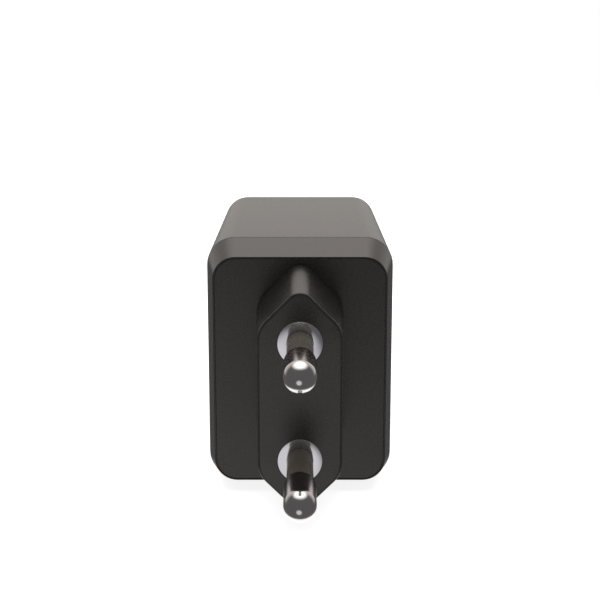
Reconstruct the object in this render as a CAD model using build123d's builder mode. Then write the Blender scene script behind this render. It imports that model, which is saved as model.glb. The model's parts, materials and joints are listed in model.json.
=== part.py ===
from build123d import *
import os

# USB wall charger with a fixed two-pin plug. Millimetres, +Z up. The pins point along -Y and the
# case runs back along +Y. The origin is the centre of the plug's engagement face.

# ---- Plug ----
pin_spacing = 19.0  # between the pins' centres
pin_reach = 19.0  # engagement face to pin tip
pin_diameter = 4.8
pin_core_diameter = 3.0  # shank inside the sleeve and the plug
pin_rivet_diameter = 2.0  # thin end that holds the contact
pin_rivet_length = 1.4
sleeve_diameter = 4.1
sleeve_reach = 10.0  # the bare metal starts here
sleeve_tail = 2.6  # how deep the sleeve sits in the boss
ring_diameter = 7.2
ring_depth = 1.2
ring_edge = 0.12

boss_width = 13.3  # engagement face, flat to flat
boss_end = 8.1  # pin centre to the rounded apex
boss_depth = 17.2  # engagement face to the case's front face
boss_draft_side = 0.7  # growth of each flat side from front to root
boss_draft_end = 0.9  # growth of each apex from front to root
apex_radius = 2.1
shoulder_radius = 4.6
boss_edge = 0.45
boss_wall = 1.8
boss_front_wall = 4.0
post_wall = 1.6
post_length = 6.0

# ---- Case ----
body_width = 32.3
body_length = 58.8  # front face to rear face
body_overhang = 3.4  # how far the case stands past the boss root, top and bottom
body_radius = 4.8
body_wall = 2.0
rear_edge = 1.2

collar_depth = 7.0  # front face to the seam
collar_inset_side = 1.4
collar_inset_end = 2.1
collar_radius = 3.9
rim_land = 0.2
rim_edge = 0.12
face_gap = 0.1  # shadow gap round the front face
face_thickness = 2.0
face_edge = 0.12
seam_bevel = 0.16
spigot_length = 3.0
spigot_wall = 1.4
spigot_clearance = 0.1

port_ledge = 0.6  # step that the port plate rests on
port_gap = 0.2
port_plate_thickness = 2.0
port_post_diameter = 3.2
port_post_inset = 3.0
port_pitch = 15.0  # between the two ports' centres
mouth_recess = 0.4  # port shells end this far inside the rear face
mouth_clearance = 0.3
mouth_bevel = 0.3

rail_depth = 1.3  # board guides on the housing's top and bottom walls
rail_lip = 1.5
rail_clearance = 0.05
rail_bottom = 0.3  # groove floor to the housing wall
rail_end_clearance = 0.1  # board edge to the groove floor

# ---- Ports ----
port_depth = 10.8
port_floor = 2.4  # moulded block at the back of each port
usb_c_width = 8.94
usb_c_height = 3.26
usb_c_wall = 0.3
usb_c_tongue_width = 6.69
usb_c_tongue_thickness = 0.7
usb_c_contact_pitch = 0.5
usb_c_contact_count = 12
usb_a_width = 13.1
usb_a_height = 5.7
usb_a_wall = 0.3
usb_a_radius = 0.6
usb_a_tongue_width = 11.1
usb_a_tongue_thickness = 1.84
usb_a_tongue_gap = 0.72  # shell to the tongue's nearer face
usb_a_contact_offsets = (-3.5, -1.0, 1.0, 3.5)
usb_a_contact_width = 1.0
contact_strip = 0.06  # how far a port contact stands off its tongue
tongue_recess = 0.7  # tongue ends this far inside its shell's mouth

# ---- Boards and cooling ----
board_thickness = 1.6
port_board_thickness = 1.2
board_gap = 0.4
port_board_clearance = 0.6
under_board_gap = 3.05  # board to heat spreader
insulation_thickness = 0.3
spreader_thickness = 1.0
cooling_margin = 2.0
isolation_slot_width = 1.2

# ---- Parts on the boards ----
part_clearance = 0.5
tall_clearance = 4.35  # tallest part to the housing wall
input_zone = 9.6  # board length for the mains filter
output_zone = 7.6  # board length for the output filter
contact_width = 5.0
contact_thickness = 0.5
contact_foot = 3.0
contact_overlap = 2.6  # how far the contact reaches past the pin's axis
transformer_width = 17.0
core_plate = 3.0
core_leg = 2.4
core_post_diameter = 6.0
core_lift = 1.0
bobbin_wall = 0.5
bobbin_flange = 0.8
bobbin_foot = 1.2
primary_build = 1.15
secondary_build = 0.7
tape_thickness = 0.2
fuse_diameter = 3.4
fuse_length = 9.0
fuse_cap_length = 1.8
fuse_cap_wall = 0.15
choke_outer = 10.0
choke_inner = 5.2
choke_thickness = 3.2
choke_wire = 0.8
choke_gap = 3.0
choke_base_thickness = 1.2
filter_capacitor_height = 11.0
filter_capacitor_thickness = 5.6
disc_diameter = 7.0
disc_thickness = 3.2
disc_lift = 1.5
lead_diameter = 0.6
lead_pitch = 4.0
output_capacitor_diameter = 6.3
output_capacitor_height = 9.0
header_pitch = 2.54
header_count = 5
header_size = 2.5
header_pin = 0.64
header_pin_clearance = 0.15
can_edge = 0.5
output_capacitor_count = 3

# Chips: length along the case, width across it, height off the board. Heights across are from
# the middle of the board.
chip_edge = 0.2
chip_leg_reach = 2.0
chip_leg_thickness = 0.2
bridge_size = (6.2, 6.5, 1.6)
bridge_z = -9.0
switch_size = (8.0, 8.0, 0.9)
switch_z = 5.0
rectifier_size = (5.0, 6.0, 1.0)
rectifier_z = -5.0
control_size = (4.9, 3.9, 1.5)
control_z = -11.0
optocoupler_size = (4.6, 6.5, 2.0)
optocoupler_z = 10.0
protocol_size = (4.0, 4.0, 0.8)
small_chip_size = (1.6, 0.8, 0.8)
large_chip_size = (2.0, 1.25, 0.8)
chip_row_count = 4
chip_row_offset = 4.5  # large chip capacitors, from the rectifier
chip_row_z = 2.0
resistor_height = 0.45
resistor_columns = 2
resistor_rows = 3
resistor_spacing = (2.6, 1.4)
resistor_z = -5.8

# ---- Places worked out from the sizes ----
pin_rows = {"upper": pin_spacing / 2, "lower": -pin_spacing / 2}
boss_height = pin_spacing + 2 * boss_end
boss_root_width = boss_width + 2 * boss_draft_side
boss_root_height = boss_height + 2 * boss_draft_end
post_end = boss_front_wall + post_length

body_height = boss_root_height + 2 * body_overhang
face_y = boss_depth
face_back_y = face_y + face_thickness
seam_y = face_y + collar_depth
rear_y = face_y + body_length
inner_width = body_width - 2 * body_wall
inner_height = body_height - 2 * body_wall
inner_radius = body_radius - body_wall
half_width = inner_width / 2
half_height = inner_height / 2

collar_width = body_width - 2 * collar_inset_side
collar_height = body_height - 2 * collar_inset_end
recess_width = collar_width - 2 * rim_land
recess_height = collar_height - 2 * rim_land
face_width = recess_width - 2 * face_gap
face_height = recess_height - 2 * face_gap
throat_width = inner_width - 2 * (spigot_clearance + spigot_wall)
throat_height = inner_height - 2 * (spigot_clearance + spigot_wall)

port_recess_width = inner_width + 2 * port_ledge
port_recess_height = inner_height + 2 * port_ledge
port_recess_radius = inner_radius + port_ledge
port_seat_y = rear_y - port_plate_thickness
mouth_y = rear_y - mouth_recess
port_board_back_y = mouth_y - port_depth
port_board_front_y = port_board_back_y - port_board_thickness
port_floor_y = port_board_back_y + port_floor
tongue_end_y = mouth_y - tongue_recess

spreader_face_x = -half_width + insulation_thickness + spreader_thickness
board_back_x = spreader_face_x + under_board_gap
board_face_x = board_back_x + board_thickness
tall_height = half_width - board_face_x - tall_clearance
board_front_y = seam_y + spigot_length + board_gap
board_rear_y = port_board_front_y - board_gap
board_half_height = half_height - rail_bottom - rail_end_clearance
usable_half = half_height - rail_depth - rail_bottom
contact_y = board_front_y - contact_foot - contact_width / 2
pin_tail_y = contact_y + contact_thickness + pin_rivet_length
zone_front_y = board_front_y + input_zone
zone_rear_y = board_rear_y - output_zone
zone_length = zone_rear_y - zone_front_y
zone_middle_y = (zone_front_y + zone_rear_y) / 2
output_middle_y = (zone_rear_y + board_rear_y) / 2


def across(y):
    """Plane across the charger at depth y, drawn in X and Z, with its normal towards the pins."""
    return Plane.XZ.offset(-y)


def on_board(x):
    """Plane along the main board at x, drawn in Y and Z, with its normal towards +X."""
    return Plane.YZ.offset(x)


def pin_axis(z):
    """Axis of the pin at height z, pointing back into the case."""
    return Axis((0, 0, z), (0, 1, 0))


def boss_outline(width, height, apex, shoulder):
    """Hexagon with 45 degree ends and rounded corners, as high as its rounded apexes."""
    peak = height / 2 + apex * (2**0.5 - 1)
    side = peak - width / 2
    with BuildSketch(Plane.XY) as outline:
        with BuildLine():
            Polyline(
                (0, peak),
                (width / 2, side),
                (width / 2, -side),
                (0, -peak),
                (-width / 2, -side),
                (-width / 2, side),
                close=True,
            )
        make_face()
        corners = outline.vertices().group_by(Axis.X)
        fillet(corners[1], radius=apex)
        fillet(outline.vertices().group_by(Axis.X)[0], radius=shoulder)
        fillet(outline.vertices().group_by(Axis.X)[-1], radius=shoulder)
    return outline.sketch


def chip(y, z, size, legs=0):
    """Moulded chip on the back of the main board, with legs along both of its sides."""
    length, width, height = size
    with BuildPart() as body:
        with BuildSketch(on_board(board_back_x)):
            with Locations((y, z)):
                Rectangle(length, width)
        extrude(amount=-height)
        chamfer(body.faces().sort_by(Axis.X)[0].edges(), length=chip_edge)
        if legs:
            with BuildSketch(on_board(board_back_x)):
                with Locations((y, z)):
                    with GridLocations(length / legs, width, legs, 2):
                        Rectangle(length / legs / 2, chip_leg_reach)
            extrude(amount=-chip_leg_thickness)
    return body.part


# ---- Case ----
with BuildPart() as plug_plate:
    with BuildSketch(across(0)):
        add(boss_outline(boss_width, boss_height, apex_radius, shoulder_radius))
    with BuildSketch(across(boss_depth)):
        add(
            boss_outline(
                boss_root_width,
                boss_root_height,
                apex_radius + boss_draft_side,
                shoulder_radius + boss_draft_side,
            )
        )
    loft()
    fillet(plug_plate.faces().sort_by(Axis.Y)[0].edges(), radius=boss_edge)
    with BuildSketch(across(face_y)):
        RectangleRounded(face_width, face_height, collar_radius - rim_land - face_gap)
    extrude(amount=-face_thickness)
    plate_rim = plug_plate.faces().filter_by(Plane.XZ).group_by(Axis.Y)[1]
    fillet(plate_rim.sort_by(SortBy.AREA)[-1].outer_wire().edges(), radius=face_edge)
    with BuildSketch(across(face_back_y)):
        add(
            boss_outline(
                boss_width - 2 * boss_wall,
                boss_height - 2 * boss_wall,
                apex_radius,
                shoulder_radius - boss_wall,
            )
        )
    extrude(amount=face_back_y - boss_front_wall, mode=Mode.SUBTRACT)
    with BuildSketch(across(boss_front_wall)):
        with Locations(*[(0, z) for z in pin_rows.values()]):
            Circle(pin_core_diameter / 2 + post_wall)
    extrude(amount=-post_length)
    for depth, diameter in (
        (ring_depth, ring_diameter),
        (sleeve_tail, sleeve_diameter),
        (post_end, pin_core_diameter),
    ):
        with BuildSketch(across(0)):
            with Locations(*[(0, z) for z in pin_rows.values()]):
                Circle(diameter / 2)
        extrude(amount=-depth, mode=Mode.SUBTRACT)

with BuildPart() as front_collar:
    for y, width, height, radius, inset in (
        (face_y, collar_width, collar_height, collar_radius, rim_edge),
        (face_y + rim_edge, collar_width, collar_height, collar_radius, 0),
        (seam_y - seam_bevel, body_width, body_height, body_radius, 0),
        (seam_y, body_width, body_height, body_radius, seam_bevel),
    ):
        with BuildSketch(across(y)):
            RectangleRounded(width - 2 * inset, height - 2 * inset, radius - inset)
    loft(ruled=True)
    with BuildSketch(across(seam_y)):
        RectangleRounded(
            inner_width - 2 * spigot_clearance,
            inner_height - 2 * spigot_clearance,
            inner_radius - spigot_clearance,
        )
    extrude(amount=-spigot_length)
    with BuildSketch(across(face_y)):
        RectangleRounded(recess_width, recess_height, collar_radius - rim_land)
    extrude(amount=-face_thickness, mode=Mode.SUBTRACT)
    with BuildSketch(across(face_y)):
        RectangleRounded(throat_width, throat_height, inner_radius - spigot_clearance - spigot_wall)
    extrude(amount=-(collar_depth + spigot_length), mode=Mode.SUBTRACT)

with BuildPart() as rear_housing:
    with BuildSketch(across(seam_y)):
        RectangleRounded(body_width, body_height, body_radius)
    extrude(amount=-(rear_y - seam_y))
    chamfer(rear_housing.faces().sort_by(Axis.Y)[0].edges(), length=seam_bevel)
    fillet(rear_housing.faces().sort_by(Axis.Y)[-1].edges(), radius=rear_edge)
    with BuildSketch(across(seam_y)):
        RectangleRounded(inner_width, inner_height, inner_radius)
    extrude(amount=-(rear_y - seam_y), mode=Mode.SUBTRACT)
    with BuildSketch(across(port_seat_y)):
        RectangleRounded(port_recess_width, port_recess_height, port_recess_radius)
    extrude(amount=-port_plate_thickness, mode=Mode.SUBTRACT)
    rail_middle_x = board_back_x + board_thickness / 2
    rail_width = board_thickness + 2 * (rail_clearance + rail_lip)
    for side in (1, -1):
        rail_z = side * (half_height - (rail_depth + rail_bottom) / 2)
        with BuildSketch(across(board_front_y)):
            with Locations((rail_middle_x, rail_z)):
                Rectangle(rail_width, rail_depth + rail_bottom)
        extrude(amount=-(board_rear_y - board_front_y))
        with BuildSketch(across(board_front_y)):
            with Locations((rail_middle_x, rail_z - side * rail_bottom)):
                Rectangle(board_thickness + 2 * rail_clearance, rail_depth + rail_bottom)
        extrude(amount=-(board_rear_y - board_front_y), mode=Mode.SUBTRACT)

with BuildPart() as port_plate:
    with BuildSketch(across(port_seat_y)):
        RectangleRounded(
            port_recess_width - 2 * port_gap,
            port_recess_height - 2 * port_gap,
            port_recess_radius - port_gap,
        )
    extrude(amount=-port_plate_thickness)
    fillet(port_plate.faces().sort_by(Axis.Y)[-1].edges(), radius=face_edge)
    with BuildSketch(across(port_seat_y)):
        with Locations((0, port_pitch / 2)):
            SlotOverall(usb_c_width + 2 * mouth_clearance, usb_c_height + 2 * mouth_clearance)
        with Locations((0, -port_pitch / 2)):
            RectangleRounded(
                usb_a_width + 2 * mouth_clearance,
                usb_a_height + 2 * mouth_clearance,
                usb_a_radius + mouth_clearance,
            )
    extrude(amount=-port_plate_thickness, mode=Mode.SUBTRACT)
    mouths = port_plate.faces().sort_by(Axis.Y)[-1].inner_wires()
    for mouth in mouths:
        chamfer(mouth.edges(), length=mouth_bevel)
    with BuildSketch(across(port_seat_y)):
        with GridLocations(
            inner_width - 2 * port_post_inset, inner_height - 2 * port_post_inset, 2, 2
        ):
            Circle(port_post_diameter / 2)
    extrude(amount=port_seat_y - port_board_back_y)

pieces = {
    "plug_plate": plug_plate,
    "front_collar": front_collar,
    "rear_housing": rear_housing,
    "port_plate": port_plate,
}

# ---- Pins, each with its sleeve, its ring and its contact ----
for row, z in pin_rows.items():
    with BuildPart() as pin:
        with BuildSketch(Plane.YZ):
            with BuildLine():
                tip = (-pin_reach, z)
                dome = (-pin_reach + pin_diameter / 2, z + pin_diameter / 2)
                CenterArc((dome[0], z), pin_diameter / 2, 90, 90)
                Polyline(
                    dome,
                    (-sleeve_reach, z + pin_diameter / 2),
                    (-sleeve_reach, z + pin_core_diameter / 2),
                    (contact_y, z + pin_core_diameter / 2),
                    (contact_y, z + pin_rivet_diameter / 2),
                    (pin_tail_y, z + pin_rivet_diameter / 2),
                    (pin_tail_y, z),
                    tip,
                )
            make_face()
        revolve(axis=pin_axis(z))
    pieces[f"{row}_pin"] = pin

    with BuildPart() as sleeve:
        with BuildSketch(across(-sleeve_reach)):
            with Locations((0, z)):
                Circle(sleeve_diameter / 2)
                Circle(pin_core_diameter / 2, mode=Mode.SUBTRACT)
        extrude(amount=-(sleeve_reach + sleeve_tail))
    pieces[f"{row}_pin_sleeve"] = sleeve

    with BuildPart() as ring:
        with BuildSketch(across(0)):
            with Locations((0, z)):
                Circle(ring_diameter / 2)
        extrude(amount=-ring_depth)
        chamfer(ring.faces().sort_by(Axis.Y)[0].edges(), length=ring_edge)
        with BuildSketch(across(0)):
            with Locations((0, z)):
                Circle(sleeve_diameter / 2)
        extrude(amount=-ring_depth, mode=Mode.SUBTRACT)
    pieces[f"{row}_pin_ring"] = ring

    with BuildPart() as contact:
        with BuildSketch(across(contact_y)):
            with Locations((0, z)):
                Rectangle(2 * contact_overlap, contact_width)
            with Locations((board_face_x / 2, z)):
                Rectangle(-board_face_x, contact_width)
            with Locations((0, z)):
                Circle(pin_rivet_diameter / 2, mode=Mode.SUBTRACT)
        extrude(amount=-contact_thickness)
        with BuildSketch(on_board(board_face_x)):
            with Locations(((contact_y + board_front_y + contact_foot) / 2, z)):
                Rectangle(board_front_y + contact_foot - contact_y, contact_width)
        extrude(amount=contact_thickness)
    pieces[f"{row}_contact"] = contact

with BuildPart() as pin_carrier:
    with BuildSketch(across(post_end)):
        add(
            boss_outline(
                boss_width - 2 * boss_wall - part_clearance,
                boss_height - 2 * boss_wall - part_clearance,
                apex_radius,
                shoulder_radius - boss_wall,
            )
        )
        with Locations(*[(0, z) for z in pin_rows.values()]):
            Circle(pin_core_diameter / 2, mode=Mode.SUBTRACT)
    extrude(amount=-boss_front_wall)
pieces["pin_carrier"] = pin_carrier

# ---- Ports ----
port_rows = {"usb_c": port_pitch / 2, "usb_a": -port_pitch / 2}

with BuildPart() as usb_c_shell:
    with BuildSketch(across(port_board_back_y)):
        with Locations((0, port_rows["usb_c"])):
            SlotOverall(usb_c_width, usb_c_height)
            SlotOverall(
                usb_c_width - 2 * usb_c_wall, usb_c_height - 2 * usb_c_wall, mode=Mode.SUBTRACT
            )
    extrude(amount=-port_depth)
pieces["usb_c_shell"] = usb_c_shell

with BuildPart() as usb_c_insulator:
    with BuildSketch(across(port_board_back_y)):
        with Locations((0, port_rows["usb_c"])):
            SlotOverall(usb_c_width - 2 * usb_c_wall, usb_c_height - 2 * usb_c_wall)
    extrude(amount=-port_floor)
    with BuildSketch(across(port_floor_y)):
        with Locations((0, port_rows["usb_c"])):
            Rectangle(usb_c_tongue_width, usb_c_tongue_thickness)
    extrude(amount=-(tongue_end_y - port_floor_y))
pieces["usb_c_insulator"] = usb_c_insulator

with BuildPart() as usb_c_contacts:
    with BuildSketch(across(port_floor_y)):
        with Locations((0, port_rows["usb_c"])):
            with GridLocations(
                usb_c_contact_pitch,
                usb_c_tongue_thickness + contact_strip,
                usb_c_contact_count,
                2,
            ):
                Rectangle(usb_c_contact_pitch / 2, contact_strip)
    extrude(amount=-(tongue_end_y - port_floor_y - mouth_recess))
pieces["usb_c_contacts"] = usb_c_contacts

with BuildPart() as usb_a_shell:
    with BuildSketch(across(port_board_back_y)):
        with Locations((0, port_rows["usb_a"])):
            RectangleRounded(usb_a_width, usb_a_height, usb_a_radius)
            RectangleRounded(
                usb_a_width - 2 * usb_a_wall,
                usb_a_height - 2 * usb_a_wall,
                usb_a_radius - usb_a_wall,
                mode=Mode.SUBTRACT,
            )
    extrude(amount=-port_depth)
pieces["usb_a_shell"] = usb_a_shell

usb_a_tongue_z = (
    port_rows["usb_a"]
    + usb_a_height / 2
    - usb_a_wall
    - usb_a_tongue_gap
    - usb_a_tongue_thickness / 2
)
with BuildPart() as usb_a_insulator:
    with BuildSketch(across(port_board_back_y)):
        with Locations((0, port_rows["usb_a"])):
            RectangleRounded(
                usb_a_width - 2 * usb_a_wall,
                usb_a_height - 2 * usb_a_wall,
                usb_a_radius - usb_a_wall,
            )
    extrude(amount=-port_floor)
    with BuildSketch(across(port_floor_y)):
        with Locations((0, usb_a_tongue_z)):
            Rectangle(usb_a_tongue_width, usb_a_tongue_thickness)
    extrude(amount=-(tongue_end_y - port_floor_y))
pieces["usb_a_insulator"] = usb_a_insulator

with BuildPart() as usb_a_contacts:
    usb_a_contact_z = usb_a_tongue_z - usb_a_tongue_thickness / 2 - contact_strip
    with BuildSketch(across(port_floor_y)):
        with Locations(*[(x, usb_a_contact_z) for x in usb_a_contact_offsets]):
            Rectangle(usb_a_contact_width, 2 * contact_strip)
    extrude(amount=-(tongue_end_y - port_floor_y - mouth_recess))
pieces["usb_a_contacts"] = usb_a_contacts

# ---- Boards ----
with BuildPart() as main_board:
    with BuildSketch(on_board(board_back_x)):
        with Locations(((board_front_y + board_rear_y) / 2, 0)):
            Rectangle(board_rear_y - board_front_y, 2 * board_half_height)
        slot_end = usable_half - part_clearance
        with Locations((zone_rear_y, (slot_end + transformer_width / 2) / 2)):
            Rectangle(isolation_slot_width, slot_end - transformer_width / 2, mode=Mode.SUBTRACT)
    extrude(amount=board_thickness)
pieces["main_board"] = main_board

header_z = usable_half - part_clearance - header_pitch * header_count / 2
header_x = board_face_x + header_size / 2
with BuildPart() as port_board:
    with BuildSketch(across(port_board_front_y)):
        RectangleRounded(
            inner_width - 2 * port_board_clearance,
            inner_height - 2 * port_board_clearance,
            inner_radius - port_board_clearance,
        )
        with Locations((header_x, header_z)):
            with GridLocations(header_pitch, header_pitch, 1, header_count):
                Circle(header_pin / 2**0.5 + header_pin_clearance, mode=Mode.SUBTRACT)
    extrude(amount=-port_board_thickness)
pieces["port_board"] = port_board

with BuildPart() as header_block:
    with BuildSketch(across(board_rear_y)):
        with Locations((header_x, header_z)):
            Rectangle(header_size, header_pitch * header_count)
            with GridLocations(header_pitch, header_pitch, 1, header_count):
                Rectangle(header_pin, header_pin, mode=Mode.SUBTRACT)
    extrude(amount=header_size)
pieces["header_block"] = header_block

with BuildPart() as header_pins:
    with BuildSketch(across(board_rear_y - header_size)):
        with Locations((header_x, header_z)):
            with GridLocations(header_pitch, header_pitch, 1, header_count):
                Rectangle(header_pin, header_pin)
    extrude(amount=-(port_board_back_y - board_rear_y + header_size))
pieces["header_pins"] = header_pins

# ---- Mains input parts ----
fuse_x = board_face_x + fuse_diameter / 2 + fuse_cap_wall
fuse_y = board_front_y + part_clearance + fuse_diameter / 2 + fuse_cap_wall
with BuildPart() as fuse_tube:
    with BuildSketch(Plane.XY.offset(-fuse_length / 2)):
        with Locations((fuse_x, fuse_y)):
            Circle(fuse_diameter / 2)
    extrude(amount=fuse_length)
pieces["fuse_tube"] = fuse_tube

with BuildPart() as fuse_caps:
    for cap_z in (-fuse_length / 2, fuse_length / 2 - fuse_cap_length):
        with BuildSketch(Plane.XY.offset(cap_z)):
            with Locations((fuse_x, fuse_y)):
                Circle(fuse_diameter / 2 + fuse_cap_wall)
                Circle(fuse_diameter / 2, mode=Mode.SUBTRACT)
        extrude(amount=fuse_cap_length)
pieces["fuse_caps"] = fuse_caps

choke_radius = choke_outer / 2 + choke_wire
choke_y = zone_front_y - part_clearance / 2 - choke_thickness / 2 - choke_wire
choke_x = board_face_x + choke_base_thickness + choke_radius
with BuildPart() as choke_core:
    with BuildSketch(across(choke_y - choke_thickness / 2)):
        with Locations((choke_x, 0)):
            Circle(choke_outer / 2)
            Circle(choke_inner / 2, mode=Mode.SUBTRACT)
    extrude(amount=-choke_thickness)
pieces["choke_core"] = choke_core

with BuildPart() as choke_windings:
    with BuildSketch(across(choke_y - choke_thickness / 2 - choke_wire)):
        with Locations((choke_x, 0)):
            Circle(choke_radius)
            Circle(choke_inner / 2 - choke_wire, mode=Mode.SUBTRACT)
            Rectangle(2 * choke_radius, choke_gap, mode=Mode.SUBTRACT)
    extrude(amount=-(choke_thickness + 2 * choke_wire))
    with BuildSketch(across(choke_y - choke_thickness / 2)):
        with Locations((choke_x, 0)):
            Circle(choke_outer / 2)
            Circle(choke_inner / 2, mode=Mode.SUBTRACT)
    extrude(amount=-choke_thickness, mode=Mode.SUBTRACT)
pieces["choke_windings"] = choke_windings

with BuildPart() as choke_base:
    with BuildSketch(on_board(board_face_x)):
        with Locations((choke_y, 0)):
            Rectangle(choke_thickness + 2 * choke_wire, choke_outer)
    extrude(amount=choke_base_thickness + choke_radius - choke_outer / 2)
    with BuildSketch(across(choke_y - choke_thickness / 2 - choke_wire)):
        with Locations((choke_x, 0)):
            Circle(choke_radius)
    extrude(amount=-(choke_thickness + 2 * choke_wire), mode=Mode.SUBTRACT)
pieces["choke_base"] = choke_base

with BuildPart() as filter_capacitor:
    capacitor_start = choke_radius + part_clearance
    capacitor_length = usable_half - part_clearance - capacitor_start
    with BuildSketch(on_board(board_face_x)):
        with Locations(
            (
                zone_front_y - part_clearance / 2 - filter_capacitor_thickness / 2,
                -capacitor_start - capacitor_length / 2,
            )
        ):
            Rectangle(filter_capacitor_thickness, capacitor_length)
    extrude(amount=filter_capacitor_height)
    fillet(filter_capacitor.edges().filter_by(Axis.X), radius=can_edge)
pieces["filter_capacitor"] = filter_capacitor


def leaded_disc(y, z):
    """Disc on two leads, standing on the main board with its flat faces towards +Z and -Z."""
    disc_x = board_face_x + disc_lift + disc_diameter / 2
    with BuildPart() as disc:
        with BuildSketch(Plane.XY.offset(z - disc_thickness / 2)):
            with Locations((disc_x, y)):
                Circle(disc_diameter / 2)
        extrude(amount=disc_thickness)
        fillet(disc.edges(), radius=can_edge)
        with BuildSketch(on_board(board_face_x)):
            with Locations((y, z)):
                with GridLocations(lead_pitch, 0, 2, 1):
                    Circle(lead_diameter / 2)
        extrude(amount=disc_lift + disc_diameter / 2)
    return disc


disc_y = board_front_y + input_zone / 2
thermistor_z = pin_spacing / 2 + contact_width / 2 + part_clearance + disc_thickness / 2
thermistor = leaded_disc(disc_y, thermistor_z)
pieces["thermistor"] = thermistor

# ---- Transformer, standing on the board with its axis along X ----
core_length = zone_length - 2 * (bobbin_foot + part_clearance)
core_height = tall_height - core_lift
core_floor_x = board_face_x + core_lift
core_middle_x = core_floor_x + core_height / 2
window = core_height / 2 - core_plate
winding_length = 2 * (window - bobbin_flange)
tape_width = winding_length - 2 * part_clearance
barrel_radius = core_post_diameter / 2 + bobbin_wall

for name, floor_x, way in (
    ("lower_core_half", core_floor_x, 1),
    ("upper_core_half", core_floor_x + core_height, -1),
):
    with BuildPart() as core_half:
        with BuildSketch(on_board(floor_x)):
            with Locations((zone_middle_y, 0)):
                Rectangle(core_length, transformer_width)
        extrude(amount=way * core_plate)
        with BuildSketch(on_board(floor_x + way * core_plate)):
            with Locations((zone_middle_y, 0)):
                Circle(core_post_diameter / 2)
                with GridLocations(0, transformer_width - core_leg, 1, 2):
                    Rectangle(core_length, core_leg)
        extrude(amount=way * window)
    pieces[name] = core_half

flange_radius = transformer_width / 2 - core_leg - part_clearance / 2
lower_flange_x = core_floor_x + core_plate
upper_flange_x = core_floor_x + core_height - core_plate - bobbin_flange
with BuildPart() as transformer_bobbin:
    with BuildSketch(on_board(lower_flange_x)):
        with Locations((zone_middle_y, 0)):
            Circle(barrel_radius)
            Circle(core_post_diameter / 2, mode=Mode.SUBTRACT)
    extrude(amount=2 * window)
    foot_reach = core_length / 2 + bobbin_foot
    with BuildSketch(on_board(lower_flange_x)):
        with Locations((zone_middle_y, 0)):
            Rectangle(2 * foot_reach, 2 * flange_radius)
            Circle(core_post_diameter / 2, mode=Mode.SUBTRACT)
    extrude(amount=bobbin_flange)
    with BuildSketch(on_board(upper_flange_x)):
        with Locations((zone_middle_y, 0)):
            Circle(flange_radius)
            Circle(core_post_diameter / 2, mode=Mode.SUBTRACT)
    extrude(amount=bobbin_flange)
    with BuildSketch(on_board(board_face_x)):
        with Locations((zone_middle_y, 0)):
            with GridLocations(2 * foot_reach - bobbin_foot, 0, 2, 1):
                Rectangle(bobbin_foot, 2 * flange_radius)
    extrude(amount=core_lift + core_plate + bobbin_flange)
    with BuildSketch(on_board(board_face_x)):
        with Locations((zone_middle_y, 0)):
            Rectangle(core_length, 2 * flange_radius)
    extrude(amount=core_lift + core_plate, mode=Mode.SUBTRACT)
pieces["transformer_bobbin"] = transformer_bobbin

for name, inner, build in (
    ("primary_winding", barrel_radius, primary_build),
    ("secondary_winding", barrel_radius + primary_build, secondary_build),
):
    with BuildPart() as winding:
        with BuildSketch(on_board(lower_flange_x + bobbin_flange)):
            with Locations((zone_middle_y, 0)):
                Circle(inner + build)
                Circle(inner, mode=Mode.SUBTRACT)
        extrude(amount=winding_length)
    pieces[name] = winding

with BuildPart() as core_tape:
    with BuildSketch(on_board(core_middle_x - tape_width / 2)):
        with Locations((zone_middle_y, 0)):
            Rectangle(core_length + 2 * tape_thickness, transformer_width + 2 * tape_thickness)
            Rectangle(core_length, transformer_width, mode=Mode.SUBTRACT)
    extrude(amount=tape_width)
pieces["core_tape"] = core_tape

# ---- Capacitors ----
side_room = usable_half - transformer_width / 2 - tape_thickness
bulk_diameter = min(side_room, zone_length / 2) - 2 * part_clearance
bulk_z = transformer_width / 2 + tape_thickness + side_room / 2
bulk_front_y = zone_middle_y - zone_length / 4
bulk_rear_y = zone_middle_y + zone_length / 4
with BuildPart() as bulk_capacitors:
    with BuildSketch(on_board(board_face_x)):
        with Locations((bulk_front_y, -bulk_z), (bulk_rear_y, -bulk_z), (bulk_front_y, bulk_z)):
            Circle(bulk_diameter / 2)
    extrude(amount=tall_height)
    fillet(bulk_capacitors.edges().group_by(Axis.X)[-1], radius=can_edge)
pieces["bulk_capacitors"] = bulk_capacitors

safety_capacitor = leaded_disc(bulk_rear_y, bulk_z)
pieces["safety_capacitor"] = safety_capacitor

with BuildPart() as output_capacitors:
    output_pitch = output_capacitor_diameter + part_clearance
    output_start = -usable_half + part_clearance + output_capacitor_diameter / 2
    output_rows = [output_start + i * output_pitch for i in range(output_capacitor_count)]
    with BuildSketch(on_board(board_face_x)):
        with Locations(*[(output_middle_y, z) for z in output_rows]):
            Circle(output_capacitor_diameter / 2)
    extrude(amount=output_capacitor_height)
    fillet(output_capacitors.edges().group_by(Axis.X)[-1], radius=can_edge)
pieces["output_capacitors"] = output_capacitors

# ---- Chips on the back of the main board ----
switch_y = zone_front_y
rectifier_y = zone_rear_y
chips = {
    "bridge_rectifier": chip(disc_y, bridge_z, bridge_size, legs=2),
    "switch_chip": chip(switch_y, switch_z, switch_size),
    "rectifier_chip": chip(rectifier_y, rectifier_z, rectifier_size),
    "control_chip": chip(zone_middle_y, control_z, control_size, legs=4),
    "optocoupler": chip(zone_rear_y, optocoupler_z, optocoupler_size, legs=2),
}

with BuildPart() as protocol_chip:
    with BuildSketch(across(port_board_front_y)):
        with Locations((half_width / 3, 0)):
            Rectangle(protocol_size[0], protocol_size[1])
    extrude(amount=protocol_size[2])
pieces["protocol_chip"] = protocol_chip

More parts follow.
